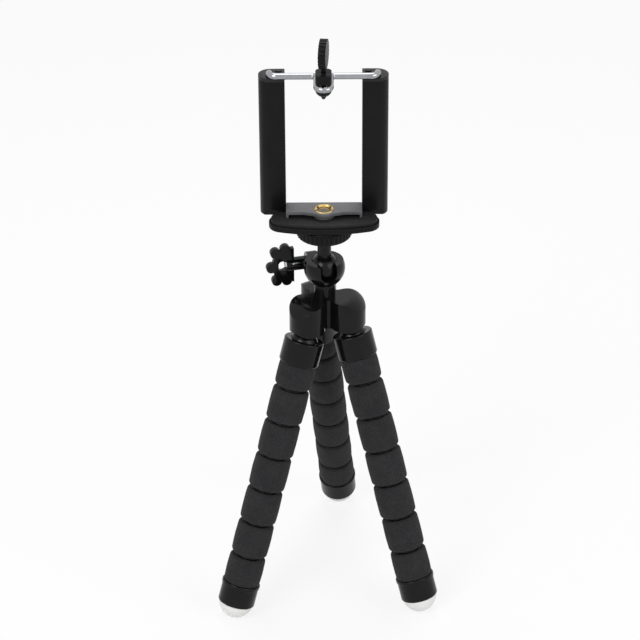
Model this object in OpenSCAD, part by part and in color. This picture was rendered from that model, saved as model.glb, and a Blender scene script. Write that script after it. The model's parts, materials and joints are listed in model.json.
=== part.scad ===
// Bendable foam-leg table tripod with a ball head and a spring-loaded phone holder.
// Millimetres, +Z up, feet on Z = 0, phone side towards -Y.

/* [Legs] */
// Lean of each leg away from the vertical, degrees
leg_splay = 19.9; // [14:0.1:22]
// Compass direction of the left leg, degrees from the front, positive to the right
left_leg_turn = -47; // [-60:0.5:-40]
// Compass direction of the right leg
right_leg_turn = 44; // [36:0.5:60]
// Compass direction of the rear leg
rear_leg_turn = 167; // [160:0.5:190]
// Radius of the ball on each hub stud
stud_ball_r = 6.2; // [5.6:0.1:6.4]
// Radius of the stud's neck and shank
stud_r = 3.2; // [2.6:0.1:3.6]
// Distance from that point down the stud to its ball
stud_drop = 9.55; // [9:0.05:11]
// Length of the shank above that point
stud_shank = 4; // [2:0.5:6]
// Distance of the studs' upper ends from the hub axis, at the lobe centres' height
root_off = 9.3; // [8.8:0.1:9.8]
// Outer radius of the socket collar
collar_r = 8.5; // [8:0.1:9]
// Height of the collar's rim above the ball centre
collar_rim = 2; // [1:0.1:2.2]
// Length of the collar below the ball centre
collar_len = 8.4; // [7.6:0.1:10]
// Radius of the spigots that join collar, beads and end cap
spigot_r = 3.6; // [3:0.1:4]
// Length of those spigots
spigot_len = 4; // [3:0.5:5]

/* [Beads] */
// Number of foam beads on a leg
bead_count = 7; // [7]
// Outer radius of the foam
bead_r = 7.8; // [7.4:0.1:8.2]
// Distance from one groove to the next
bead_pitch = 15.6; // [14.5:0.1:18]
// Length of the first bead, up to the middle of the first groove
first_bead_len = 11.5; // [10.5:0.1:14]
// Length of the last bead, from the middle of the last groove
last_bead_len = 13.1; // [12.5:0.1:16]
// Gap between two beads at the groove's bottom
bead_gap = 1.3; // [1.2:0.05:1.6]
// Rounding of the foam's edges at a groove
bead_round = 1.1; // [0.6:0.1:1.2]
// Outer radius of the plastic link inside the foam
link_r = 6.4; // [6.2:0.1:6.5]
// Radius of the ball at the lower end of a link
link_ball_r = 5.2; // [4.8:0.1:5.3]
// Radius of the neck above that ball
link_neck_r = 3.2; // [2.6:0.1:3.4]
// Depth of a link's ball centre below the next bead's top
link_sink = 2.2; // [2:0.1:2.6]

/* [Feet] */
// Length of the end cap
cap_len = 10.1; // [9:0.1:12]
// Outer radius of the end cap
cap_r = 8.0; // [7.9:0.1:8.4]
// Extra radius of the lip at the cap's top
cap_lip = 0.35; // [0.2:0.05:0.6]
// Height of that lip
cap_lip_h = 1.7; // [1:0.1:2.5]
// Radius of the dome foot
foot_r = 7.55; // [7:0.05:7.8]
// Depth of the dome's centre inside the cap
foot_sink = 0.9; // [0.5:0.1:2]
// Radius of the foot's plug
foot_plug_r = 5.6; // [4.5:0.1:6]
// Length of the foot's plug
foot_plug_len = 3.6; // [3:0.1:4.5]

/* [Hub] */
// Turn of the hub, its notch and its lock, to the right of the front
hub_turn = 14; // [0:1:20]
// Distance of the lobe centres from the hub axis
lobe_off = 10.2; // [9.6:0.1:10.6]
// Radius of a lobe
lobe_r = 7.5; // [7:0.1:7.8]
// Distance of the valleys between lobes from the hub axis
valley_r = 6; // [5.7:0.1:6.4]
// Height of the three-lobed body
hub_h = 13.5; // [11:0.5:15]
// Height of the studs' upper ends above the hub's underside
root_up = 3.5; // [2:0.5:4]
// Rounding radius of the lobes' upper edge
hub_round = 6.8; // [5:0.1:7.5]
// Chamfer of the lobes' lower edge
hub_chamfer = 1.6; // [0.8:0.1:2.4]
// Radius of the neck under the ball cup
neck_r = 4.6; // [4:0.05:5]
// Height of the ball's centre above the hub's underside
ball_up = 26.6; // [25:0.1:29]

/* [Ball head] */
// Radius of the ball
ball_r = 6.3; // [6:0.1:6.6]
// Outer radius of the ball cup
cup_r = 8.7; // [8.3:0.1:9]
// Height of the cup's rim above the ball centre
cup_rim = 3.6; // [3:0.1:4]
// Radius of the stem on the ball
stem_r = 2.9; // [2.6:0.1:3]
// Clear width at each side of the stem in the cup's notch
notch_gap = 0.55; // [0.4:0.05:0.8]
// Distance from the ball centre to the underside of the lock wheel
stem_len = 15.7; // [15.2:0.1:20]
// Radius of the flange on top of the stem
flange_r = 6; // [5:0.1:7]
// Thickness of that flange
flange_t = 1.6; // [1.2:0.1:2]
// Radius of the 1/4 inch camera screw
screw_r = 3.1; // [3:0.05:3.15]
// Radius of the camera screw's shank in the stem
shank_r = 1.7; // [1.4:0.1:1.9]
// Length of that shank
shank_len = 6; // [4:0.5:8]
// Radius of the lock wheel, over its ribs
wheel_r = 11.5; // [10.5:0.1:12]
// Height of the lock wheel
wheel_h = 5; // [3.5:0.1:5.5]
// Number of ribs round the lock wheel
wheel_ribs = 36; // [24:2:48]
// Height of a rib above the wheel's rim
rib_h = 0.45; // [0.3:0.05:0.6]
// Chamfer of the wheel's upper edge
wheel_edge = 0.7; // [0.4:0.1:1]

/* [Lock] */
// Distance of the clamp screw behind the hub axis
lock_back = 11.3; // [11.2:0.1:12]
// Depth of the clamp screw below the ball centre
lock_down = 3.1; // [2:0.1:4]
// Radius of the clamp screw
lock_r = 2.1; // [1.8:0.1:2.2]
// Width of the slit between the clamp ears
slit_w = 1.2; // [0.8:0.1:1.6]
// Width of one clamp ear
ear_w = 4.4; // [4:0.1:5]
// Radius of an ear's rounded end
ear_r = 4.5; // [4:0.1:4.8]
// Width of the clamp nut across its corners, halved
nut_r = 3.9; // [3.6:0.1:4]
// Thickness of the clamp nut
nut_t = 2.4; // [1.8:0.1:2.6]
// Distance of the knob's straight edge from the hub's middle plane
knob_in = 10.6; // [10.2:0.1:14]
// Distance from that edge to the knob's middle
knob_mid = 5.1; // [4.6:0.1:6.5]
// Distance of the outermost lobe's centre from the knob's middle, along the clamp screw
knob_half = 4.6; // [4:0.1:6]
// Distance of the upper and lower lobes' centres from the knob's middle
knob_rise = 8; // [6:0.1:8.4]
// Radius of a finger lobe of the knob
knob_lobe_r = 2.2; // [1.8:0.1:2.4]
// Number of finger lobes
knob_lobes = 5; // [4:1:6]
// Thickness of the knob
knob_t = 2.4; // [2:0.1:3]
// Half the width of the window in the knob
window_w = 1.6; // [1.2:0.1:1.8]
// Half the height of that window
window_h = 2.3; // [1.8:0.1:2.6]
// Radius of the knob's sleeve over the clamp screw
sleeve_r = 2.9; // [2.7:0.1:3.2]
// Width of the slot along that sleeve
sleeve_slot = 1.6; // [1:0.1:2]

/* [Platform] */
// Width of the platform plate
plate_w = 45.7; // [43:0.1:47]
// Reach of the plate in front of the screw axis
plate_front = 10.9; // [10:0.1:12]
// Reach of the plate behind the screw axis
plate_back = 3.7; // [3.5:0.1:3.8]
// Corner radius of the plate
plate_round = 5.8; // [4:0.1:6]
// Radius of the plate's bowed front edge
plate_bow = 67; // [55:1:90]
// Thickness of the plate
plate_t = 2.4; // [2:0.1:3]
// Thickness of the rubber pad
pad_t = 1.4; // [1:0.1:2]
// Inset of the pad from the plate's edge
pad_inset = 0.9; // [0.5:0.1:1.5]

/* [Holder] */
// Half the clear width between the rails
rail_in = 15.8; // [15:0.1:17]
// Width of a rail
rail_w = 10.7; // [10.4:0.1:12]
// Depth of a rail, which is also twice the radius of its outer side
rail_d = 10; // [9.6:0.1:10.6]
// Distance of a rail's front face behind the screw axis
rail_front = 4; // [4:0.1:5]
// Height of a rail's lower end above the plate's underside
rail_up = 1.3; // [0.5:0.1:1.6]
// Height of a rail with its cap
rail_h = 62.5; // [58:0.5:90]
// Depth of the step in a rail's front behind the plate
rail_step = 1; // [0.6:0.1:1.2]
// Wall of a rail
rail_wall = 1.5; // [1.2:0.1:1.6]
// Thickness of a rail's floor
rail_floor = 4; // [3.5:0.1:5]
// Thickness of the cap on a rail
rail_cap_t = 1.5; // [1:0.1:2]
// Radius of the small screws in the holder
small_screw_r = 0.8; // [0.6:0.05:0.9]
// Radius of the small screws' heads
small_head_r = 1.3; // [1.1:0.1:1.4]
// Height of the bridge over the pad
bridge_h = 2.8; // [2.4:0.1:4]
// Thickness of the bridge's sheet
bridge_t = 1.4; // [1:0.1:1.8]
// Reach of the bridge in front of the screw axis
bridge_front = 2.6; // [2.2:0.1:3.5]
// Reach of the bridge behind the screw axis
bridge_back = 4.9; // [4.8:0.1:5.5]
// Thickness of the bridge's end feet and rear wall
bridge_wall = 1; // [0.8:0.1:1.1]
// Thickness of the strip that ties the rails together
tie_t = 1.8; // [1.5:0.1:2]
// Radius of the bulge in the bridge's sheet round the insert
bridge_boss_r = 5.4; // [5:0.1:5.8]
// Half the width over which that bulge flares into the sheet's edge
bridge_flare = 8.4; // [7:0.1:10]
// Wall of the bridge's socket round the insert
socket_wall = 0.6; // [0.5:0.1:0.8]
// Radius of the brass insert
insert_r = 4; // [3.8:0.1:4.2]
// Radius of the 1/4 inch thread in the insert
thread_r = 3.175; // [3.175]
// Free height of the insert above the bridge
insert_up = 0.15; // [0:0.05:0.4]

/* [Wire jaw] */
// Radius of the wire
wire_r = 1.35; // [1.2:0.05:1.4]
// Distance of a rod from the holder's middle plane
rod_x = 22; // [21.6:0.1:22.3]
// Distance of the crossbar behind the screw axis
bar_y = 3.4; // [3:0.1:4]
// Bend radius of the wire
wire_bend = 3.2; // [2.8:0.1:3.6]
// Bend radius of the wire at the loop's roots
loop_bend = 2; // [1.8:0.1:2.4]
// Half the loop's width along the wire's middle
loop_half = 2.8; // [2.6:0.1:3.2]
// Distance from the crossbar forward to the loop's tip
loop_len = 13; // [10:0.1:14]
// Length of a rod below the crossbar
rod_len = 50; // [45:0.5:52]
// Radius of the stop on a rod's lower end
stop_r = 2.7; // [2.4:0.1:2.8]
// Length of that stop
stop_len = 4; // [3:0.5:5]
// Inner radius of a return spring
spring_in = 1.9; // [1.7:0.1:2]
// Outer radius of a return spring
spring_out = 2.6; // [2.4:0.1:2.7]
// Width of the boss on the loop
boss_w = 6.6; // [6:0.1:7]
// Depth of the boss
boss_d = 8; // [7:0.1:9]
// Height of the boss
boss_h = 4.2; // [3.5:0.1:5]
// Corner radius of the boss
boss_round = 2; // [1:0.1:2.4]
// Radius of the pressure cap
press_r = 3.3; // [3:0.1:3.6]
// Height of the pressure cap
press_h = 3.4; // [3:0.1:4]
// Radius of the pressure cap's domed underside
press_dome = 3.5; // [3.4:0.1:5]
// Length of the pressure cap's point
press_tip = 1.2; // [0.8:0.1:1.6]

/* [Thumb screw] */
// Radius of the thumb screw's stem
thumb_r = 0.95; // [0.8:0.05:1.1]
// Radius of the thumb disc
disc_r = 6.1; // [5:0.1:7.5]
// Thickness of the thumb disc
disc_t = 3; // [2.6:0.1:4]
// Distance of the thumb screw behind the middle of the loop's round end
thumb_back = 1.5; // [0.5:0.1:2.5]
// Free stem between the boss and the disc
thumb_gap = 2; // [1:0.1:5]
// Turn of the thumb disc away from edge-on, degrees
disc_turn = -8; // [-30:1:30]
// Number of grip notches round the disc
disc_notches = 22; // [16:2:30]
// Radius of a grip notch
disc_notch_r = 0.45; // [0.3:0.05:0.6]

/* [Clearances] */
// Clearance of a ball in its socket
socket_clear = 0.15; // [0.1:0.01:0.2]
// Clearance of a turning or sliding pin
run_clear = 0.075; // [0.03:0.005:0.1]
// Clearance of pieces that are pressed together
seat_clear = 0.03; // [0.02:0.01:0.05]
// Clearance of faces that pass each other
face_clear = 0.1; // [0.05:0.05:0.3]

/* [Hidden] */
$fn = 64;
// Small overlap that carries a cut through a face
cut = 0.5;
SIDES = ["left", "right"];
LEGS = ["left", "right", "rear"];
LEG_TURN = [left_leg_turn, right_leg_turn, rear_leg_turn];
LOBE_TURN = [hub_turn - 60, hub_turn + 60, hub_turn + 180];

// Stations along a leg, measured down from its stud ball
first_groove = collar_len + first_bead_len;
last_groove = first_groove + (bead_count - 2) * bead_pitch;
cap_top = last_groove + last_bead_len;
cap_end = cap_top + cap_len;
foot_mid = cap_end - foot_sink;

// Heights above the floor
stud_z = foot_mid * cos(leg_splay) + foot_r;
root_z = stud_z + stud_drop * cos(leg_splay);
hub_z = root_z - root_up;
ball_z = hub_z + ball_up;
wheel_z = ball_z + stem_len;
plate_z = wheel_z + wheel_h + face_clear;
pad_z = plate_z + plate_t;
bridge_z = pad_z + pad_t;
bridge_top = bridge_z + bridge_h;
rail_z = plate_z + rail_up;
rail_top = rail_z + rail_h;
wire_z = rail_top + wire_r + face_clear;
boss_z = wire_z + wire_r + face_clear;
disc_z = boss_z + boss_h + thumb_gap + disc_r;
stop_z = wire_z - rod_len;
press_z = wire_z - wire_r - face_clear;

// Plan places in the holder
rail_mid_x = rail_in + rail_w - rail_d / 2;
rail_mid_y = rail_front + rail_d / 2;
post_x = rail_in + rail_wall + 0.9;
post_y = rail_front + rail_d - rail_wall - 0.9;
loop_tip_y = bar_y - loop_len;
thumb_y = loop_tip_y + loop_half + thumb_back;
tie_y = rail_front + rail_wall;
tie_d = rail_d - 2 * rail_wall;
tenon_len = 3;

// Place of a stud's ball, and a leg's direction, in the hub's own frame
stud_out = root_off + stud_drop * sin(leg_splay);
function heading(a) = [sin(a), -cos(a)];
function foot_at(i) = stud_out * heading(LOBE_TURN[i]) + foot_mid * sin(leg_splay) * heading(LEG_TURN[i]);
function cap_reach(h) = cap_r * sqrt(1 - pow(sin(leg_splay) * h, 2));
function cap_at(i) = foot_at(i) + foot_sink * sin(leg_splay) * heading(LEG_TURN[i]);
lows = [for (k = [0, 1]) min([for (i = [0 : 2]) cap_at(i)[k] - cap_reach(heading(LEG_TURN[i])[k])])];
highs = [for (k = [0, 1]) max([for (i = [0 : 2]) cap_at(i)[k] + cap_reach(heading(LEG_TURN[i])[k])])];
// The origin is under the middle of the footprint
hub_at = -(lows + highs) / 2;

leg_nodes = [
    for (leg = LEGS) each [
        str(leg, "_leg_collar"),
        for (n = [1 : bead_count]) str(leg, "_leg_bead_", n),
        str(leg, "_leg_end_cap"),
        str(leg, "_leg_foot"),
    ]
];

// Frames

// Moves the hub axis to its place over the footprint
module on_axis(z = 0) translate([hub_at[0], hub_at[1], z]) children();

// Hub frame: origin at the hub's underside, turned with the hub
module hub_frame(z = 0) on_axis(hub_z + z) rotate([0, 0, hub_turn]) children();

// Leg frame: origin at the stud ball, the leg running down along -Z
module leg_frame(i) {
    at = stud_out * heading(LOBE_TURN[i]);
    on_axis() translate([at[0], at[1], stud_z])
        rotate([0, 0, LEG_TURN[i]]) rotate([-leg_splay, 0, 0]) children();
}

// Draws a piece on each side of the holder's middle plane
module both_sides() {
    children();
    mirror([1, 0, 0]) children();
}

// Draws a piece on the left or the right of the holder
module on_side(side) mirror([side == "left" ? 1 : 0, 0, 0]) children();

// A solid of revolution hanging from station top down to station end
module ring(top, end, outer, inner = 0, round_top = 0, round_end = 0) {
    translate([0, 0, -end]) rotate_extrude()
        rounded_band(inner, outer, end - top, round_end, round_top);
}

// Section of a ring, with its outer corners rounded
module rounded_band(inner, outer, h, low, high) {
    core = outer - max(low, high);
    translate([inner, 0]) square([core - inner, h]);
    translate([inner, low]) square([outer - inner, h - low - high]);
    if (low > 0) translate([core, low]) intersection() {
        circle(low);
        translate([0, -low]) square([low, low + cut]);
    }
    if (high > 0) translate([core, h - high]) intersection() {
        circle(high);
        translate([0, -cut]) square([high, high + cut]);
    }
}

// Legs

// Station of the upper or the lower face of bead n
function bead_top(n) = n == 1 ? collar_len + face_clear / 2
    : first_groove + (n - 2) * bead_pitch + bead_gap / 2;
function bead_end(n) = n == bead_count ? cap_top - face_clear / 2
    : first_groove + (n - 1) * bead_pitch - bead_gap / 2;

// Socket cup that grips the stud's ball, with a spigot for the first bead
module leg_collar(i) color("#1b1b1d") leg_frame(i) {
    difference() {
        union() {
            ring(-collar_rim, collar_len, collar_r, round_top = 0.5, round_end = 0.6);
            ring(collar_len - cut, collar_len + spigot_len, spigot_r);
        }
        sphere(stud_ball_r + socket_clear);
    }
}

// Foam bead over its plastic link: a socket above and a ball below
module leg_bead(i, n) leg_frame(i) {
    top = bead_top(n);
    end = bead_end(n);
    color("#3a3a3d") ring(top, end, bead_r, link_r + seat_clear,
        n == 1 ? 0.3 : bead_round, n == bead_count ? 0.3 : bead_round);
    color("#202022") difference() {
        union() {
            ring(top, end, link_r);
            if (n < bead_count) link_ball(end);
            else ring(end - cut, end + spigot_len, spigot_r);
        }
        if (n == 1) ring(top - cut, top + spigot_len + face_clear, spigot_r + seat_clear);
        else translate([0, 0, -top - link_sink]) sphere(link_ball_r + socket_clear);
    }
}

// Ball and neck at the lower end of a link
module link_ball(end) {
    drop = bead_gap + link_sink;
    translate([0, 0, -end - drop]) {
        sphere(link_ball_r);
        cylinder(r = link_neck_r, h = drop + cut);
    }
}

// Hard cap at the leg's end
module leg_end_cap(i) color("#1b1b1d") leg_frame(i) difference() {
    union() {
        ring(cap_top, cap_end, cap_r, round_end = 0.8);
        ring(cap_top, cap_top + cap_lip_h, cap_r + cap_lip, round_top = 0.4, round_end = 0.3);
    }
    ring(cap_top - cut, cap_top + spigot_len + face_clear, spigot_r + seat_clear);
    ring(cap_end - foot_plug_len - face_clear, cap_end + cut, foot_plug_r + seat_clear);
}

// Soft dome foot, plugged into the cap
module leg_foot(i) color("#f2f2ee") leg_frame(i) {
    ring(cap_end - foot_plug_len, cap_end + cut, foot_plug_r);
    intersection() {
        translate([0, 0, -foot_mid]) sphere(foot_r);
        ring(cap_end + seat_clear, cap_end + 2 * foot_r, 2 * foot_r);
    }
}

// Hub

// Outline of the hub: a lobe over each leg, joined by concave valleys
module trefoil() {
    fillet_r = (pow(valley_r, 2) + pow(lobe_off, 2) - lobe_off * valley_r - pow(lobe_r, 2))
        / (2 * lobe_r - 2 * valley_r + lobe_off);
    valley_off = valley_r + fillet_r;
    turns = [-60, 60, 180];
    difference() {
        union() {
            for (t = turns) translate(lobe_off * heading(t)) circle(lobe_r);
            polygon([for (t = turns) each [lobe_off * heading(t), valley_off * heading(t + 60)]]);
        }
        for (t = turns) translate(valley_off * heading(t + 60)) circle(fillet_r + 0.02);
    }
}

// Section that rounds the lobes' upper edge and chamfers the lower one
module hub_section() {
    reach = lobe_off + lobe_r + 0.2;
    flat = reach - hub_round;
    side = reach - 0.02;
    shoulder = hub_h - hub_round;
    square([flat, hub_h]);
    polygon([[0, 0], [side - hub_chamfer, 0], [side, hub_chamfer], [side, shoulder], [0, shoulder]]);
    translate([flat, shoulder]) intersection() {
        circle(hub_round);
        translate([0, -1]) square(2 * hub_round);
    }
}

// Moulded hub: lobed body, neck, split ball cup and clamp ears
module hub() color("#19191b") hub_frame() difference() {
    union() {
        intersection() {
            linear_extrude(hub_h) trefoil();
            rotate_extrude() hub_section();
        }
        translate([0, 0, hub_h - 1]) cylinder(r = neck_r, h = ball_up - hub_h - ball_r);
        translate([0, 0, ball_up]) intersection() {
            sphere(cup_r);
            translate([0, 0, cup_rim - 2 * cup_r]) cylinder(r = 2 * cup_r, h = 2 * cup_r);
        }
        clamp_ears();
    }
    translate([0, 0, ball_up]) ball_space();
    clamp_cuts();
    for (t = [-60, 60, 180]) stud_place(t) {
        cylinder(r = stud_r + seat_clear, h = stud_drop + stud_shank);
        sphere(stud_ball_r + seat_clear);
    }
}

// Cavity of the ball, and the notch that lets the stem drop to the front
module ball_space() {
    half = stem_r + notch_gap;
    sphere(ball_r + socket_clear);
    rotate([90, 0, 0]) cylinder(r = half, h = 2 * cup_r);
    translate([-half, -2 * cup_r, 0]) cube([2 * half, 2 * cup_r, cup_r]);
}

// Two ears behind the cup, with the clamp screw through them
module clamp_ears() translate([0, lock_back, ball_up - lock_down]) {
    width = slit_w + 2 * ear_w;
    translate([-width / 2, 0, 0]) rotate([0, 90, 0]) cylinder(r = ear_r, h = width);
    translate([-width / 2, -lock_back + neck_r, -ear_r + 0.01])
        cube([width, lock_back - neck_r, 2 * ear_r - 0.02]);
}

// Slit, screw hole and nut pocket in the ears
module clamp_cuts() translate([0, lock_back, ball_up - lock_down]) {
    translate([-slit_w / 2, -lock_back, -ear_r - cut])
        cube([slit_w, lock_back + ear_r + cut, 2 * cup_r]);
    translate([-cup_r, 0, 0]) rotate([0, 90, 0]) cylinder(r = lock_r + run_clear, h = 2 * cup_r);
    translate([slit_w / 2 + ear_w - nut_t, 0, 0]) rotate([0, 90, 0])
        cylinder(r = nut_r + seat_clear, h = nut_t + cut, $fn = 6);
}

// Frame of a stud: origin at its ball, pointing up the stud
module stud_place(turn) {
    at = stud_out * heading(turn);
    translate([at[0], at[1], root_up - stud_drop * cos(leg_splay)])
        rotate([0, 0, turn]) rotate([-leg_splay, 0, 0]) children();
}

// Ball studs under the lobes
module leg_studs() color("#222224") hub_frame() for (t = [-60, 60, 180]) stud_place(t) {
    sphere(stud_ball_r);
    cylinder(r = stud_r, h = stud_drop + stud_shank - face_clear);
}

// Lock

// Frame of the clamp screw: origin at the slit, the screw along X
module lock_frame() hub_frame(ball_up - lock_down) translate([0, lock_back, 0]) children();

// Chrome clamp screw through both ears and into the knob
module clamp_screw() color("#c9ccd0") lock_frame() {
    reach = knob_in + knob_mid - window_w - 2 * face_clear;
    translate([-reach, 0, 0]) rotate([0, 90, 0])
        cylinder(r = lock_r, h = reach + slit_w / 2 + ear_w + 0.8);
}

// Outline of the knob round its middle: finger lobes on an oval, and a straight edge on the right
module knob_outline() {
    step = 280 / knob_lobes;
    centres = [for (k = [0 : knob_lobes - 1]) let (a = 68 + step * (k + 0.07))
        [knob_half * cos(a), knob_rise * sin(a)]];
    polygon(concat(centres, [[knob_mid, -knob_rise], [knob_mid, knob_rise]]));
    for (c = centres) translate(c) circle(knob_lobe_r);
}

// Upright window in the knob's middle
module knob_window() {
    rise = window_h - window_w;
    square([2 * window_w - 0.02, 2 * rise], center = true);
    for (y = [-rise, rise]) translate([0, y]) circle(window_w);
}

// Flat lobed knob with a window, and a slotted sleeve round the clamp screw
module clamp_paddle() color("#1d1d1f") lock_frame() translate([-knob_in - knob_mid, 0, 0]) {
    sleeve_len = knob_in - slit_w / 2 - ear_w - 3 * face_clear;
    difference() {
        union() {
            translate([0, knob_t / 2, 0]) rotate([90, 0, 0]) linear_extrude(knob_t) knob_outline();
            translate([window_w + face_clear, 0, 0]) rotate([0, 90, 0])
                cylinder(r = sleeve_r, h = knob_mid - window_w - face_clear + sleeve_len);
        }
        translate([0, knob_t, 0]) rotate([90, 0, 0]) linear_extrude(2 * knob_t) knob_window();
        rotate([0, 90, 0]) cylinder(r = lock_r + seat_clear, h = 2 * knob_in);
        translate([knob_mid - 1, 0, 0]) rotate([-30, 0, 0]) translate([0, -2 * sleeve_r, -sleeve_slot / 2])
            cube([sleeve_len - 0.2, 2 * sleeve_r, sleeve_slot]);
    }
}

// Hexagonal nut sunk in the right ear
module clamp_nut() color("#b9bcc0") lock_frame() translate([slit_w / 2 + ear_w - nut_t + seat_clear, 0, 0])
    rotate([0, 90, 0]) difference() {
        cylinder(r = nut_r, h = nut_t - seat_clear, $fn = 6);
        translate([0, 0, -cut]) cylinder(r = lock_r + run_clear, h = nut_t + 2 * cut);
    }

// Ball head

// Ball, stem and the flange that carries the camera screw
module ball_stem() color("#1f1f21") on_axis(ball_z) difference() {
    union() {
        sphere(ball_r);
        cylinder(r = stem_r, h = stem_len + flange_t);
        translate([0, 0, stem_len]) cylinder(r = flange_r, h = flange_t);
    }
    translate([0, 0, stem_len + flange_t - shank_len - face_clear])
        cylinder(r = shank_r + seat_clear, h = shank_len + cut);
}

// Quarter-inch camera screw standing on the stem
module camera_screw() color("#a8abb0") on_axis(wheel_z + flange_t) {
    translate([0, 0, -shank_len]) cylinder(r = shank_r, h = shank_len + 1);
    cylinder(r = screw_r, h = bridge_top - wheel_z - flange_t - 0.7);
}

// Ribbed lock wheel under the platform
module lock_wheel() color("#1d1d1f") on_axis(wheel_z) difference() {
    union() {
        cylinder(r = wheel_r - rib_h, h = wheel_h - wheel_edge);
        translate([0, 0, wheel_h - wheel_edge])
            cylinder(r1 = wheel_r - rib_h, r2 = wheel_r - rib_h - wheel_edge, h = wheel_edge);
        for (k = [0 : wheel_ribs - 1]) rotate([0, 0, 360 * k / wheel_ribs])
            translate([wheel_r - 2 * rib_h, 0, 0.4])
                cylinder(r = rib_h * 2, h = wheel_h - wheel_edge - 0.5, $fn = 24);
    }
    translate([0, 0, -cut]) cylinder(r = flange_r + 0.3, h = flange_t + cut + face_clear);
    cylinder(r = screw_r + run_clear, h = wheel_h + cut);
}

// Platform

// Plan of the platform: a bowed front edge and rounded corners
module plate_plan(inset = 0) {
    r = plate_round - inset;
    bow = plate_bow - inset;
    x = plate_w / 2 - plate_round;
    bow_mid = plate_bow - plate_front;
    front = bow_mid - sqrt(pow(bow - r, 2) - x * x);
    back = plate_back - plate_round;
    touch = bow * x / (bow - r);
    intersection() {
        translate([0, bow_mid]) circle(bow, $fn = 256);
        translate([-touch, -2 * plate_front]) square([2 * touch, back + 2 * plate_front]);
    }
    translate([-x, back - cut]) square([2 * x, r + cut]);
    translate([-x - r, min(front, back)]) square([2 * (x + r), abs(back - front)]);
    for (sx = [-1, 1]) for (y = [front, back]) translate([sx * x, y]) circle(r);
}

// Plate on the lock wheel
module platform_plate() color("#232325") on_axis(plate_z) difference() {
    linear_extrude(plate_t) plate_plan();
    translate([0, 0, -cut]) cylinder(r = screw_r + run_clear, h = plate_t + 2 * cut);
}

// Rubber pad on the plate
module platform_pad() color("#2c2c2e") on_axis(pad_z) difference() {
    linear_extrude(pad_t) plate_plan(pad_inset);
    translate([0, 0, -cut]) cylinder(r = screw_r + run_clear, h = pad_t + 2 * cut);
}

// Holder

// Lower jaw: a low bridge with end feet, a boss for the insert and a tie behind the plate
module bridge() color("#77787b") on_axis() difference() {
    half = rail_in - face_clear;
    depth = bridge_front + bridge_back;
    union() {
        translate([0, 0, bridge_top - bridge_t]) linear_extrude(bridge_t) bridge_plan();
        both_sides() translate([half - bridge_wall, -bridge_front, bridge_z])
            cube([bridge_wall, depth, bridge_h]);
        translate([0, 0, bridge_z]) cylinder(r = insert_r + socket_wall, h = bridge_h);
        translate([-half, bridge_back - bridge_wall, rail_z])
            cube([2 * half, bridge_wall, bridge_top - rail_z]);
        translate([-half, bridge_back - bridge_wall, rail_z])
            cube([2 * half, tie_y + tie_d - bridge_back + bridge_wall, tie_t]);
        both_sides() tie_tenon(0);
    }
    translate([0, 0, bridge_z - cut]) cylinder(r = insert_r + seat_clear, h = bridge_h + 2 * cut);
    both_sides() tie_screw(seat_clear, cut);
}

// Plan of the bridge's sheet, with the bulge round the insert
module bridge_plan() {
    half = rail_in - face_clear;
    lean = bridge_boss_r * [sin(40), -cos(40)];
    translate([-half, -bridge_front]) square([2 * half, bridge_front + bridge_back]);
    circle(bridge_boss_r);
    polygon([[-bridge_flare, -bridge_front], [-lean[0], lean[1]], lean, [bridge_flare, -bridge_front]]);
}

// Tenon of the tie, and the slot for it in a rail
module tie_tenon(clear) translate([rail_in - 1, tie_y + 1 - clear, rail_z - clear])
    cube([tenon_len + 1 + clear, tie_d - 2 + 2 * clear, tie_t + 2 * clear]);

// Small screw up through the tenon, its head flush below
module tie_screw(clear, over) translate([rail_in + tenon_len / 2, rail_mid_y, rail_z]) {
    translate([0, 0, -over]) cylinder(r = small_head_r + clear, h = 0.8 + over);
    cylinder(r = small_screw_r + clear, h = rail_floor - 0.8 + clear);
}

// The two screws of the tie
module tie_screws() color("#2a2a2c") on_axis() both_sides() tie_screw(0, 0);

// Brass insert with the quarter-inch thread
module brass_insert() color("#c8a04a") on_axis(bridge_z) difference() {
    cylinder(r = insert_r, h = bridge_h + insert_up);
    translate([0, 0, -cut]) cylinder(r = thread_r, h = bridge_h + insert_up + 2 * cut);
    translate([0, 0, bridge_h + insert_up - 0.4]) cylinder(r1 = thread_r, r2 = thread_r + 0.5, h = 0.5);
}

// Plan of a rail: flat inner side, half-round outer side
module rail_plan(wall = 0) {
    r = rail_d / 2 - wall;
    translate([rail_mid_x, rail_mid_y]) circle(r);
    translate([rail_in + wall, rail_mid_y - r + 0.01]) square([rail_mid_x - rail_in - wall, 2 * r - 0.02]);
}

// Hollow rail that guides one rod of the wire jaw
module rail(side) color("#1e1e20") on_axis() on_side(side) difference() {
    translate([0, 0, rail_z]) linear_extrude(rail_h - rail_cap_t) rail_plan();
    difference() {
        translate([0, 0, rail_z + rail_floor]) linear_extrude(rail_h) rail_plan(rail_wall);
        translate([post_x, post_y, rail_z]) cylinder(r = 1.5, h = 2 * rail_h);
    }
    tie_tenon(seat_clear);
    tie_screw(seat_clear, cut);
    translate([rail_in - cut, rail_front - cut, rail_z - cut])
        cube([rail_w + 2 * cut, rail_step + cut, bridge_z + face_clear - rail_z + cut]);
    translate([post_x, post_y, rail_top - 8]) cylinder(r = small_screw_r + seat_clear, h = 8);
}

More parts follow.
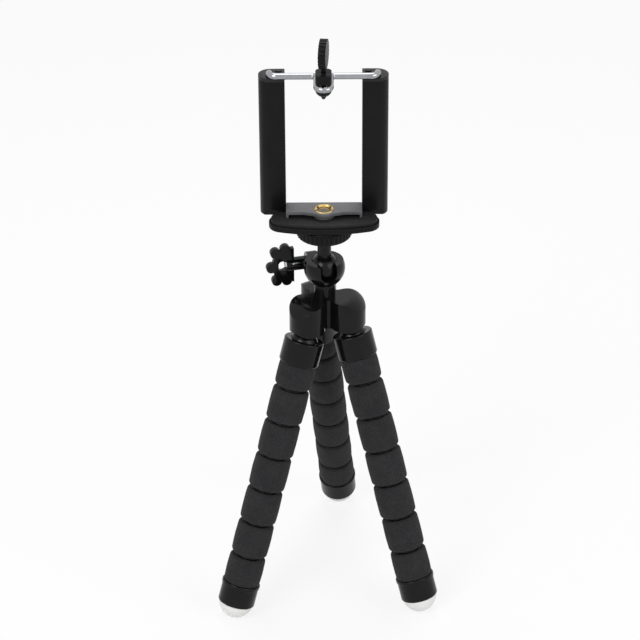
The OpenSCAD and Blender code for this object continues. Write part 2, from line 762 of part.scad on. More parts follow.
// Cap on a rail, with the rod's hole and a slot that takes the wire's bend
module rail_cap(side) color("#4a4b4e") on_axis(rail_top - rail_cap_t) on_side(side) difference() {
    hole = wire_r + run_clear;
    inside = wire_bend - wire_r;
    run = inside - sqrt(face_clear * (2 * inside - face_clear)) + face_clear;
    linear_extrude(rail_cap_t) rail_plan();
    for (y = [0, -run]) translate([rod_x, rail_mid_y + y, -cut]) cylinder(r = hole, h = rail_cap_t + 2 * cut);
    translate([rod_x - hole + 0.01, rail_mid_y - run, -cut])
        cube([2 * hole - 0.02, run, rail_cap_t + 2 * cut]);
    translate([post_x, post_y, -cut]) cylinder(r = small_screw_r + seat_clear, h = rail_cap_t + 2 * cut);
}

// Small screws in the rail caps
module rail_cap_screws() color("#151516") on_axis(rail_top) both_sides() translate([post_x, post_y, 0]) {
    cylinder(r = small_head_r, h = 0.5);
    translate([0, 0, -6]) cylinder(r = small_screw_r, h = 6.1);
}

// Wire jaw

// A straight stretch of wire
module wire_run(from, to) {
    d = to - from;
    len = norm(d);
    translate(from) rotate([0, acos(d[2] / len), atan2(d[1], d[0])]) cylinder(r = wire_r, h = len);
}

// A quarter bend in the plan, starting at angle a round its centre
module wire_elbow(mid, r, a) translate(mid) rotate([0, 0, a]) rotate_extrude(angle = 90)
    translate([r, 0]) circle(wire_r);

// Half of the wire: rod, bend over the rail, crossbar and half of the loop
module wire_half() {
    b = wire_bend;
    root_x = loop_half + loop_bend;
    wire_run([rod_x, rail_mid_y, -rod_len], [rod_x, rail_mid_y, -b]);
    translate([rod_x, rail_mid_y - b, -b]) rotate([0, -90, 0])
        rotate_extrude(angle = 90) translate([b, 0]) circle(wire_r);
    if (rail_mid_y - b > bar_y + b) wire_run([rod_x, rail_mid_y - b, 0], [rod_x, bar_y + b, 0]);
    wire_elbow([rod_x - b, bar_y + b, 0], b, -90);
    wire_run([rod_x - b, bar_y, 0], [root_x, bar_y, 0]);
    wire_elbow([root_x, bar_y - loop_bend, 0], loop_bend, 90);
    wire_run([loop_half, bar_y - loop_bend, 0], [loop_half, loop_tip_y + loop_half, 0]);
    wire_elbow([0, loop_tip_y + loop_half, 0], loop_half, -90);
}

// Chrome wire jaw
module wire_jaw() color("#d3d6da") on_axis(wire_z) both_sides() wire_half();

// Stops on the rods' lower ends
module rod_stops() color("#8d9094") on_axis(stop_z)
    both_sides() translate([rod_x, rail_mid_y, 0]) difference() {
        translate([0, 0, -1]) cylinder(r = stop_r, h = stop_len);
        cylinder(r = wire_r + seat_clear, h = stop_len);
    }

// Return spring between a rod's stop and the rail's cap
module return_spring(side) color("#a2a5a9") on_axis() on_side(side)
    translate([rod_x, rail_mid_y, stop_z + stop_len - 1 + face_clear]) difference() {
        h = rail_top - rail_cap_t - stop_z - stop_len + 1 - 2 * face_clear;
        cylinder(r = spring_out, h = h);
        translate([0, 0, -cut]) cylinder(r = spring_in, h = h + 2 * cut);
    }

// Boss on the wire's loop, guiding the thumb screw
module jaw_boss() color("#1d1d1f") on_axis(boss_z) translate([0, thumb_y, 0]) difference() {
    linear_extrude(boss_h) boss_plan();
    translate([0, 0, -cut]) cylinder(r = thumb_r + run_clear, h = boss_h + 2 * cut);
}

// Plan of the boss, with rounded corners
module boss_plan() {
    x = boss_w / 2 - boss_round;
    y = boss_d / 2 - boss_round;
    square([2 * x, boss_d], center = true);
    square([boss_w, 2 * y], center = true);
    for (sx = [-x, x]) for (sy = [-y, y]) translate([sx, sy]) circle(boss_round);
}

// Thumb screw: thin stem under an upright grip disc
module thumb_screw() color("#1b1b1d") on_axis() translate([0, thumb_y, 0]) {
    foot = press_z - press_h / 2;
    translate([0, 0, foot]) cylinder(r = thumb_r, h = disc_z - disc_r - foot + 1);
    translate([0, 0, disc_z]) rotate([0, 0, disc_turn]) rotate([0, 90, 0]) difference() {
        translate([0, 0, -disc_t / 2]) cylinder(r = disc_r, h = disc_t);
        for (k = [0 : disc_notches - 1]) rotate([0, 0, 360 * (k + 0.5) / disc_notches])
            translate([disc_r, 0, -disc_t]) cylinder(r = disc_notch_r, h = 2 * disc_t, $fn = 24);
    }
}

// Domed pressure cap on the thumb screw's end, with a small point
module pressure_cap() color("#1d1d1f") on_axis(press_z - press_h) translate([0, thumb_y, 0]) difference() {
    union() {
        intersection() {
            cylinder(r = press_r, h = press_h);
            translate([0, 0, press_dome]) sphere(press_dome);
        }
        translate([0, 0, -press_tip]) cylinder(r1 = 0.5, r2 = press_r * 0.4, h = press_tip + 0.3);
    }
    translate([0, 0, press_h / 2 - face_clear]) cylinder(r = thumb_r + run_clear, h = press_h);
}

for (i = [0 : 2]) {
    leg_collar(i);
    for (n = [1 : bead_count])
        leg_bead(i, n);
    leg_end_cap(i);
    leg_foot(i);
}
for (side = SIDES) {
    rail(side);
    rail_cap(side);
    return_spring(side);
}
hub();
leg_studs();
clamp_screw();
clamp_paddle();
clamp_nut();
ball_stem();
camera_screw();
lock_wheel();
platform_plate();
platform_pad();
bridge();
brass_insert();
rail_cap_screws();
tie_screws();
wire_jaw();
rod_stops();
jaw_boss();
thumb_screw();
pressure_cap();
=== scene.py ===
"""Studio scene of a bendable foam-leg tripod with a ball head and a sprung phone holder."""
import json
import logging
import math
from dataclasses import dataclass
from enum import Enum
from typing import ClassVar

import bpy
from mathutils import Matrix, Quaternion, Vector


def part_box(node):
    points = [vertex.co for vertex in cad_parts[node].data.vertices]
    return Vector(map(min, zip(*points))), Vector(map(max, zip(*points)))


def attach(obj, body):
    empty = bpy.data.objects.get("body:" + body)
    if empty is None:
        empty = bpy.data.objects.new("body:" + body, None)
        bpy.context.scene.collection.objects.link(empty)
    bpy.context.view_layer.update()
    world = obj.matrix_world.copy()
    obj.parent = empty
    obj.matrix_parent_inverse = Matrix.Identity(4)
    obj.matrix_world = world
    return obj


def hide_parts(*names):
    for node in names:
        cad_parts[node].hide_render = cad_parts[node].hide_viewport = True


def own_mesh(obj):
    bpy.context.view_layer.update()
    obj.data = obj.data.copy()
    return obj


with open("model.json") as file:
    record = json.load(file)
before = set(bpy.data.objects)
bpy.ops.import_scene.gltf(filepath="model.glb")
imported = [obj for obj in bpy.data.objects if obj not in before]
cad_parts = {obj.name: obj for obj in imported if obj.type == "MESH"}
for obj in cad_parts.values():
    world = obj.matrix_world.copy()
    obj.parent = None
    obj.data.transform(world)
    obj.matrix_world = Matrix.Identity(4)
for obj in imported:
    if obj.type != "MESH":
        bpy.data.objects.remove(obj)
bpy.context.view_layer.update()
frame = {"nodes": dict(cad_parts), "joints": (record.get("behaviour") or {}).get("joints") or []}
LOG = logging.getLogger("tripod")
MM = 0.001
WELD = 0.004 * MM
NODE_WELD = 0.002 * MM
FLAT_TURN = math.radians(1.0)
WIDE_GRAIN = 9 * MM
POLISH_GRAIN = 4 * MM

Colour = tuple[float, float, float]
Outline = list[tuple[float, float]]


class Leg(Enum):
    """The three legs, by the prefix of their nodes and bodies."""

    LEFT = "left_leg_"
    RIGHT = "right_leg_"
    REAR = "rear_leg_"


class Side(Enum):
    """The two sides of the phone holder."""

    LEFT = "left"
    RIGHT = "right"


class Shading(Enum):
    """How a finished mesh is shaded."""

    SMOOTH = 180.0
    EDGED = 32.0


# Finishes

class Nodes:
    """A material's node tree, with short calls to add and join its nodes."""

    def __init__(self, name: str) -> None:
        """Starts an empty material with a Principled shader on Object coordinates."""
        self.material = bpy.data.materials.new(name)
        self.material.use_nodes = True
        self.tree = self.material.node_tree
        self.shader = self.tree.nodes["Principled BSDF"]
        self.place = self.add("ShaderNodeTexCoord").outputs["Object"]

    def add(self, kind: str, **values: float | tuple | str) -> bpy.types.Node:
        """Adds a node.

        Args:
            kind: Blender's name of the node's type.
            values: sockets to set, by name, or properties of the node.

        Returns:
            The new node.
        """
        node = self.tree.nodes.new(kind)
        for name, value in values.items():
            socket = node.inputs.get(name.replace("_", " "))
            if socket is not None:
                socket.default_value = value
            else:
                setattr(node, name, value)
        return node

    def join(self, output: bpy.types.NodeSocket, target: bpy.types.NodeSocket) -> None:
        """Links an output socket to an input socket."""
        self.tree.links.new(output, target)

    def noise(self, size: float, detail: float = 3.0, rough: float = 0.55) -> bpy.types.NodeSocket:
        """Adds noise of a grain size in metres.

        Args:
            size: size of a grain.
            detail: octaves of finer grain.
            rough: strength of the finer octaves.

        Returns:
            The noise's value socket.
        """
        node = self.add("ShaderNodeTexNoise", Scale=1 / size, Detail=detail, Roughness=rough)
        self.join(self.place, node.inputs["Vector"])
        return node.outputs["Fac"]

    def cells(self, size: float) -> bpy.types.NodeSocket:
        """Adds a cell pattern of a cell size in metres and returns its distance socket."""
        node = self.add("ShaderNodeTexVoronoi", Scale=1 / size)
        self.join(self.place, node.inputs["Vector"])
        return node.outputs["Distance"]

    def ramp(self, value: bpy.types.NodeSocket, stops: list[tuple[float, Colour]]) -> bpy.types.NodeSocket:
        """Maps a value to colours.

        Args:
            value: the value socket.
            stops: places from 0 to 1 and their colours, lowest first.

        Returns:
            The colour socket.
        """
        node = self.add("ShaderNodeValToRGB")
        points = node.color_ramp.elements
        while len(points) < len(stops):
            points.new(0.5)
        for point, (place, colour) in zip(points, stops):
            point.position = place
            point.color = (*colour, 1)
        self.join(value, node.inputs["Fac"])
        return node.outputs["Color"]

    def span(self, value: bpy.types.NodeSocket, low: float, high: float) -> bpy.types.NodeSocket:
        """Maps a value from 0.3..0.7 to a range and returns the new value socket."""
        node = self.add("ShaderNodeMapRange")
        for name, number in {"From Min": 0.3, "From Max": 0.7, "To Min": low, "To Max": high}.items():
            node.inputs[name].default_value = number
        self.join(value, node.inputs["Value"])
        return node.outputs["Result"]

    def bump(
        self, height: bpy.types.NodeSocket, depth: float, under: bpy.types.Node | None = None
    ) -> bpy.types.Node:
        """Adds surface relief.

        Args:
            height: the height socket.
            depth: relief in metres.
            under: an earlier bump that this one lies on.

        Returns:
            The bump node.
        """
        node = self.add("ShaderNodeBump", Strength=1.0, Distance=depth)
        self.join(height, node.inputs["Height"])
        if under is not None:
            self.join(under.outputs["Normal"], node.inputs["Normal"])
        return node

    def set(self, **values: float | tuple) -> None:
        """Sets the shader's own sockets, by name."""
        for name, value in values.items():
            self.shader.inputs[name.replace("_", " ")].default_value = value

    def wear(self, socket: str, source: bpy.types.NodeSocket) -> None:
        """Drives one of the shader's sockets."""
        self.join(source, self.shader.inputs[socket])

    def finish(self, relief: bpy.types.Node | None = None) -> bpy.types.Material:
        """Joins the relief and returns the material."""
        if relief is not None:
            self.join(relief.outputs["Normal"], self.shader.inputs["Normal"])
        return self.material


def tint(colour: Colour, share: float) -> Colour:
    """A colour made lighter or darker by a share."""
    return tuple(min(1.0, c * share) for c in colour)


@dataclass(frozen=True)
class MouldedPlastic:
    """Injection-moulded plastic, from glossy to satin."""

    name: str
    colour: Colour
    rough: float
    grain: float
    relief: float
    spread: float = 0.06
    specular: float = 0.5

    def build(self) -> bpy.types.Material:
        """Makes the material: faint mottling, smudged gloss and a fine grain."""
        nodes = Nodes(self.name)
        broad = nodes.noise(WIDE_GRAIN, 4)
        fine = nodes.noise(self.grain, 2, 0.6)
        dark, light = tint(self.colour, 0.8), tint(self.colour, 1.25)
        nodes.wear("Base Color", nodes.ramp(broad, [(0.3, dark), (0.7, light)]))
        nodes.wear("Roughness", nodes.span(broad, self.rough - self.spread, self.rough + self.spread))
        nodes.set(Specular_IOR_Level=self.specular)
        return nodes.finish(nodes.bump(fine, self.relief))


@dataclass(frozen=True)
class ClosedCellFoam:
    """Dark foam with fine pores and a dry, dusty surface."""

    name: str
    colour: Colour
    pore: float = 0.42 * MM
    rough: float = 0.92

    def build(self) -> bpy.types.Material:
        """Makes the material: pores, speckle and slow mottling."""
        nodes = Nodes(self.name)
        speckle = nodes.noise(self.pore, 4, 0.75)
        pores = nodes.cells(self.pore * 1.6)
        broad = nodes.noise(6 * MM, 3)
        dark, light = tint(self.colour, 0.45), tint(self.colour, 1.9)
        shade = nodes.ramp(speckle, [(0.32, dark), (0.5, self.colour), (0.72, light)])
        cloud = nodes.ramp(broad, [(0.3, (0.75, 0.75, 0.76)), (0.7, (1.0, 1.0, 1.0))])
        mix = nodes.add("ShaderNodeMix", data_type="RGBA", blend_type="MULTIPLY")
        mix.inputs["Factor"].default_value = 1.0
        nodes.join(shade, mix.inputs[6])
        nodes.join(cloud, mix.inputs[7])
        nodes.wear("Base Color", mix.outputs[2])
        nodes.set(Roughness=self.rough, Specular_IOR_Level=0.1, Sheen_Weight=0.05, Sheen_Roughness=0.6)
        holes = nodes.bump(pores, 0.10 * MM)
        return nodes.finish(nodes.bump(speckle, 0.14 * MM, holes))


@dataclass(frozen=True)
class GrainedRubber:
    """Rubber with a coarse moulded grain, or a smooth one where the grain is fine."""

    name: str
    colour: Colour
    grain: float
    relief: float
    rough: float = 0.65
    soft: float = 0.0

    def build(self) -> bpy.types.Material:
        """Makes the material: cell grain over a fine noise."""
        nodes = Nodes(self.name)
        cells = nodes.cells(self.grain)
        fine = nodes.noise(self.grain * 0.5, 3, 0.65)
        low, high = (0.97, 1.02) if self.soft else (0.7, 2.0)
        shades = [(0.35, tint(self.colour, low)), (0.7, tint(self.colour, high))]
        nodes.wear("Base Color", nodes.ramp(fine, shades))
        nodes.set(Roughness=self.rough, Subsurface_Weight=self.soft, Subsurface_Scale=1.5 * MM)
        nodes.set(Specular_IOR_Level=0.5 if self.soft else 0.22)
        return nodes.finish(nodes.bump(fine, self.relief * 0.6, nodes.bump(cells, self.relief)))


@dataclass(frozen=True)
class BareMetal:
    """Plated or turned metal with fine drawing marks."""

    name: str
    colour: Colour
    rough: float
    uneven: float = 0.35
    marks: float = 0.3 * MM
    relief: float = 0.004 * MM

    def build(self) -> bpy.types.Material:
        """Makes the material: metal with uneven polish and hairline marks."""
        nodes = Nodes(self.name)
        broad = nodes.noise(POLISH_GRAIN, 4)
        fine = nodes.noise(self.marks, 2, 0.5)
        dark, light = tint(self.colour, 0.9), tint(self.colour, 1.05)
        spread = self.rough * self.uneven
        nodes.wear("Base Color", nodes.ramp(broad, [(0.3, dark), (0.7, light)]))
        nodes.wear("Roughness", nodes.span(broad, self.rough - spread, self.rough + spread))
        nodes.set(Metallic=1.0)
        return nodes.finish(nodes.bump(fine, self.relief))


Finish = MouldedPlastic | ClosedCellFoam | GrainedRubber | BareMetal

GLOSS_BLACK = MouldedPlastic("gloss_black", (0.004, 0.004, 0.0045), 0.17, 0.5 * MM, 0.004 * MM, 0.04, 0.18)
SATIN_BLACK = MouldedPlastic("satin_black", (0.005, 0.005, 0.0055), 0.40, 0.22 * MM, 0.02 * MM, 0.06, 0.12)
LINK_BLACK = MouldedPlastic("link_black", (0.005, 0.005, 0.005), 0.5, 0.3 * MM, 0.01 * MM, 0.05, 0.3)
BRIDGE_GREY = MouldedPlastic("bridge_grey", (0.10, 0.10, 0.105), 0.45, 0.2 * MM, 0.02 * MM, 0.06, 0.4)
CAP_GREY = MouldedPlastic("cap_grey", (0.014, 0.014, 0.015), 0.42, 0.2 * MM, 0.015 * MM, 0.06, 0.2)
FOAM = ClosedCellFoam("closed_cell_foam", (0.024, 0.024, 0.0255))
PAD_RUBBER = GrainedRubber("grained_pad", (0.008, 0.008, 0.0085), 0.7 * MM, 0.09 * MM, 0.6)
FOOT_RUBBER = GrainedRubber("white_foot", (0.78, 0.78, 0.765), 1.2 * MM, 0.006 * MM, 0.42, 0.08)
CHROME = BareMetal("chrome", (0.34, 0.345, 0.36), 0.08)
STEEL = BareMetal("zinc_steel", (0.52, 0.53, 0.55), 0.28)
DARK_STEEL = BareMetal("black_screw", (0.03, 0.03, 0.032), 0.35)
SCREW_STEEL = BareMetal("aged_screw", (0.15, 0.125, 0.09), 0.3)
BRASS = BareMetal("turned_brass", (0.80, 0.56, 0.20), 0.22, 0.1)


class Paints:
    """The built finishes, each made once."""

    made: ClassVar[dict[str, bpy.types.Material]] = {}

    @classmethod
    def get(cls, finish: Finish) -> bpy.types.Material:
        """The material of a finish, built on its first use."""
        if finish.name not in cls.made:
            cls.made[finish.name] = finish.build()
        return cls.made[finish.name]


def dress(piece: bpy.types.Object, finish: Finish) -> None:
    """Gives a piece one finish all over."""
    piece.data.materials.clear()
    piece.data.materials.append(Paints.get(finish))


# Modelling by hand

def clear_selection() -> None:
    """Leaves nothing selected, so that an operator acts on the new piece alone."""
    if bpy.context.object and bpy.context.object.mode != "OBJECT":
        bpy.ops.object.mode_set(mode="OBJECT")
    bpy.ops.object.select_all(action="DESELECT")


def pick(piece: bpy.types.Object) -> None:
    """Selects one piece and makes it active."""
    clear_selection()
    piece.select_set(True)
    bpy.context.view_layer.objects.active = piece


def shade(piece: bpy.types.Object, shading: Shading) -> None:
    """Shades a piece smooth all over, or up to an edge angle."""
    pick(piece)
    if shading is Shading.SMOOTH:
        bpy.ops.object.shade_smooth()
    else:
        bpy.ops.object.shade_smooth_by_angle(angle=math.radians(shading.value))


def apply_all(piece: bpy.types.Object) -> None:
    """Applies every modifier, in order."""
    pick(piece)
    for modifier in list(piece.modifiers):
        bpy.ops.object.modifier_apply(modifier=modifier.name)


def settle(piece: bpy.types.Object, place: Matrix) -> None:
    """Puts a piece in its place and applies it, so that its object stays at the origin."""
    pick(piece)
    piece.matrix_world = place
    bpy.ops.object.transform_apply(location=True, rotation=True, scale=True)


def lathe(name: str, outline: Outline, steps: int = 64) -> bpy.types.Object:
    """Turns an outline round the Z axis.

    Args:
        name: the piece's name.
        outline: points as radius and height, in order; a closed outline ends at its start.
        steps: segments round the axis.

    Returns:
        The turned piece, at the origin.
    """
    clear_selection()
    bpy.ops.mesh.primitive_plane_add(size=MM)
    piece = bpy.context.object
    piece.name = name
    bpy.ops.object.mode_set(mode="EDIT")
    bpy.ops.mesh.merge(type="CENTER")
    first = outline[0]
    bpy.ops.transform.translate(value=(first[0], 0, first[1]))
    for (r0, z0), (r1, z1) in zip(outline, outline[1:]):
        bpy.ops.mesh.extrude_region_move(TRANSFORM_OT_translate={"value": (r1 - r0, 0, z1 - z0)})
    bpy.ops.mesh.select_all(action="SELECT")
    bpy.ops.mesh.spin(steps=steps, angle=2 * math.pi, center=(0, 0, 0), axis=(0, 0, 1))
    bpy.ops.mesh.select_all(action="SELECT")
    bpy.ops.mesh.remove_doubles(threshold=WELD)
    bpy.ops.mesh.normals_make_consistent(inside=False)
    bpy.ops.object.mode_set(mode="OBJECT")
    return piece


def arc(mid: tuple[float, float], radius: float, start: float, end: float, count: int) -> Outline:
    """Points on an arc of an outline.

    Args:
        mid: the centre, as radius and height.
        radius: the arc's radius.
        start: first angle in degrees, from straight outwards.
        end: last angle in degrees.
        count: number of steps.

    Returns:
        The points, both ends included.
    """
    turns = [math.radians(start + (end - start) * k / count) for k in range(count + 1)]
    return [(mid[0] + radius * math.cos(t), mid[1] + radius * math.sin(t)) for t in turns]


def softened(node: str, width: float, segments: int = 3, angle: float = 40.0) -> bpy.types.Object:
    """A copy of a node with its sharp edges rounded, standing in for the node.

    Args:
        node: the node's name.
        width: rounding in metres.
        segments: steps in a rounding.
        angle: edges sharper than this many degrees are rounded.

    Returns:
        The rounded piece.
    """
    source = frame["nodes"][node]
    piece = bpy.data.objects.new(node + "_body", source.data.copy())
    bpy.context.scene.collection.objects.link(piece)
    pick(piece)
    bpy.ops.object.mode_set(mode="EDIT")
    bpy.ops.mesh.select_all(action="SELECT")
    bpy.ops.mesh.remove_doubles(threshold=NODE_WELD)
    bpy.ops.mesh.dissolve_limited(angle_limit=FLAT_TURN)
    bpy.ops.object.mode_set(mode="OBJECT")
    bevel = piece.modifiers.new("rounding", "BEVEL")
    bevel.width = width
    bevel.segments = segments
    bevel.limit_method = "ANGLE"
    bevel.angle_limit = math.radians(angle)
    bevel.use_clamp_overlap = True
    bevel.harden_normals = False
    apply_all(piece)
    shade(piece, Shading.EDGED)
    return piece


def seat(piece: bpy.types.Object, body: str, slot: str, *nodes: str) -> bpy.types.Object:
    """Lets a piece ride on a body in place of its nodes, and logs it.

    Args:
        piece: the finished piece.
        body: the body that carries it.
        slot: not used.
        nodes: the nodes that it stands for.

    Returns:
        The piece.
    """
    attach(piece, body)
    if nodes:
        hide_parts(*nodes)
    LOG.info("%s rides on %s: %d faces", piece.name, body, len(piece.data.polygons))
    return piece


def joint(name: str) -> dict:
    """The frame's joint of that name."""
    return next(j for j in frame["joints"] if j["name"] == name)


# Sub-assemblies

@dataclass
class FoamLeg:
    """One bendable leg: collar, foam beads over ball links, end cap and dome foot."""

    leg: Leg
    beads: int = 7
    foam_r: float = 7.8 * MM
    swell: float = 0.16 * MM
    link_r: float = 6.4 * MM
    shoulder: float = 1.25 * MM
    collar_len: float = 8.4 * MM
    first_len: float = 11.5 * MM
    pitch: float = 15.6 * MM
    last_len: float = 13.1 * MM
    gap: float = 1.3 * MM
    ball_r: float = 5.2 * MM
    neck_r: float = 3.2 * MM
    sink: float = 2.2 * MM
    clear: float = 0.05 * MM
    end_round: float = 0.4 * MM
    socket_gap: float = 0.15 * MM
    unevenness: float = 0.14 * MM
    lump: float = 3.2 * MM

    def place(self) -> Matrix:
        """The leg's frame: origin at the hub ball, the leg running down along -Z."""
        swing = joint(self.leg.value + "swing")
        low = Vector(joint(self.leg.value + f"bend_{self.beads - 1}")["pos_m"])
        origin = Vector(swing["pos_m"])
        across = -Vector(swing["axis"])
        up = (origin - low).normalized()
        turn = Matrix((across, up.cross(across), up)).transposed()
        return Matrix.Translation(origin) @ turn.to_4x4()

    def stations(self, n: int) -> tuple[float, float]:
        """Heights of bead n's lower and upper face, below the hub ball."""
        groove = self.collar_len + self.first_len + (n - 1) * self.pitch
        top = self.collar_len + self.clear if n == 1 else groove - self.pitch + self.gap / 2
        end = groove - self.pitch + self.last_len - self.clear if n == self.beads else groove - self.gap / 2
        return -end, -top

    def body(self, n: int) -> str:
        """The body that carries bead n."""
        part = "root" if n == 1 else "tip" if n == self.beads else f"link_{n}"
        return self.leg.value + part

    def foam_outline(self, n: int) -> Outline:
        """Section of a foam sleeve: rounded shoulders and a slight swell between them."""
        low, high = self.stations(n)
        inner = self.link_r + self.clear
        round_low = self.end_round if n == self.beads else self.shoulder
        round_high = self.end_round if n == 1 else self.shoulder
        edge_low, edge_high = low + round_low, high - round_high
        wall = []
        for k in range(1, 10):
            t = k / 10
            swollen = self.foam_r + self.swell * math.sin(math.pi * t)
            wall.append((swollen, edge_low + (edge_high - edge_low) * t))
        outline = [(inner, low), (inner + 0.4 * (self.foam_r - round_low - inner), low)]
        outline += arc((self.foam_r - round_low, edge_low), round_low, -90, 0, 6)
        outline += wall
        outline += arc((self.foam_r - round_high, edge_high), round_high, 0, 90, 6)
        return outline + [(inner, high), (inner, (low + high) / 2), (inner, low)]

    def link_outline(self, n: int) -> Outline:
        """Section of the hard link inside a bead: ball and neck below, socket above."""
        low, high = self.stations(n)
        outline = [(0.0, low)]
        if n < self.beads:
            mid = low - self.gap - self.sink
            neck_turn = math.degrees(math.acos(self.neck_r / self.ball_r))
            outline = arc((0.0, mid), self.ball_r, -90, neck_turn, 14)
            outline += [(self.neck_r, low)]
        outline += [(self.link_r, low), (self.link_r, high)]
        if n == 1:
            return outline + [(0.0, high)]
        socket = self.ball_r + self.socket_gap
        lip = math.degrees(math.asin(self.sink / socket))
        return outline + arc((0.0, high - self.sink), socket, lip, -90, 14)

    def roughen(self, foam: bpy.types.Object, seed: int) -> None:
        """Gives cut foam its slight unevenness."""
        cloud = bpy.data.textures.new(f"{foam.name}_cloud", "CLOUDS")
        cloud.noise_scale = self.lump
        cloud.noise_depth = 2
        uneven = foam.modifiers.new("uneven", "DISPLACE")
        uneven.texture = cloud
        uneven.texture_coords = "LOCAL"
        uneven.strength = self.unevenness * (1 + 0.15 * (seed % 3))
        uneven.mid_level = 0.5
        apply_all(foam)

    def build(self) -> None:
        """Makes and seats the beads, and dresses the leg's hard pieces."""
        place = self.place()
        prefix = self.leg.value
        for n in range(1, self.beads + 1):
            foam = lathe(f"{prefix}foam_{n}", self.foam_outline(n), 96)
            settle(foam, place)
            self.roughen(foam, n)
            shade(foam, Shading.SMOOTH)
            dress(foam, FOAM)
            seat(foam, self.body(n), "foam", f"{prefix}bead_{n}")
            link = lathe(f"{prefix}link_{n}", self.link_outline(n), 48)
            settle(link, place)
            shade(link, Shading.EDGED)
            dress(link, LINK_BLACK)
            seat(link, self.body(n), "matte_black")
        for part, finish in {"collar": GLOSS_BLACK, "end_cap": GLOSS_BLACK, "foot": FOOT_RUBBER}.items():
            dress(frame["nodes"][prefix + part], finish)
            LOG.info("%s%s dressed", prefix, part)


@dataclass
class Head:
    """Hub, clamp, ball, lock wheel and camera screw."""

    edge: float = 0.18 * MM

    def build(self) -> None:
        """Rounds and dresses the head's pieces."""
        for node, finish in {
            "leg_studs": GLOSS_BLACK, "ball_stem": GLOSS_BLACK, "clamp_screw": CHROME,
            "clamp_nut": STEEL, "camera_screw": SCREW_STEEL, "hub": GLOSS_BLACK, "lock_wheel": SATIN_BLACK,
        }.items():
            dress(frame["nodes"][node], finish)
            LOG.info("%s dressed", node)
        paddle = softened("clamp_paddle", self.edge)
        dress(paddle, GLOSS_BLACK)
        seat(paddle, "clamp", "gloss_black", "clamp_paddle")


@dataclass
class Platform:
    """Plate on the lock wheel with its grained rubber pad."""

    plate_edge: float = 0.5 * MM
    pad_edge: float = 0.45 * MM

    def build(self) -> None:
        """Rounds and dresses the plate and the pad."""
        plate = softened("platform_plate", self.plate_edge, 4)
        dress(plate, SATIN_BLACK)
        seat(plate, "holder", "matte_black", "platform_plate")
        pad = softened("platform_pad", self.pad_edge, 4)
        dress(pad, PAD_RUBBER)
        seat(pad, "holder", "pad_rubber", "platform_pad")


@dataclass
class PhoneHolder:
    """Bridge, brass insert, rails and their caps."""

    rail_edge: float = 0.45 * MM
    bridge_edge: float = 0.25 * MM
    thread_r: float = 3.175 * MM
    thread_pitch: float = 1.27 * MM
    thread_depth: float = 0.45 * MM
    rim: float = 0.2 * MM
    lead_in: float = 0.35 * MM
    lead_wide: float = 0.42 * MM
    lead_narrow: float = 0.1 * MM

    def insert_outline(self) -> Outline:
        """Section of the brass insert, with its thread as ridges."""
        low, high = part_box("brass_insert")
        outer = (high.x - low.x) / 2
        bottom, top = low.z, high.z
        z = top - self.lead_in
        outline = [(self.thread_r, bottom), (outer, bottom), (outer, top - self.rim), (outer - self.rim, top)]
        outline += [(self.thread_r + self.lead_wide, top), (self.thread_r + self.lead_narrow, z)]
        while z - self.thread_pitch / 2 > bottom + self.lead_narrow:
            outline.append((self.thread_r - self.thread_depth * 0.5, z - self.thread_pitch * 0.25))
            outline.append((self.thread_r + self.thread_depth * 0.5, z - self.thread_pitch * 0.5))
            z -= self.thread_pitch / 2
        return outline + [(self.thread_r, bottom)]

    def build(self) -> None:
        """Rounds and dresses the holder's pieces, and turns the insert."""
        for side in Side:
            rail = softened(side.value + "_rail", self.rail_edge, 4)
            dress(rail, SATIN_BLACK)
            seat(rail, "holder", "matte_black", side.value + "_rail")
            cap = softened(side.value + "_rail_cap", self.bridge_edge)
            dress(cap, CAP_GREY)
            seat(cap, "holder", "grey_plastic", side.value + "_rail_cap")
        bridge = softened("bridge", self.bridge_edge)
        dress(bridge, BRIDGE_GREY)
        seat(bridge, "holder", "grey_plastic", "bridge")
        low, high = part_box("brass_insert")
        insert = lathe("brass_insert_turned", self.insert_outline(), 64)
        settle(insert, Matrix.Translation(((low.x + high.x) / 2, (low.y + high.y) / 2, 0)))
        shade(insert, Shading.EDGED)
        dress(insert, BRASS)
        seat(insert, "holder", "brass", "brass_insert")
        for node in ("rail_cap_screws", "tie_screws"):
            dress(frame["nodes"][node], DARK_STEEL)
            LOG.info("%s dressed", node)


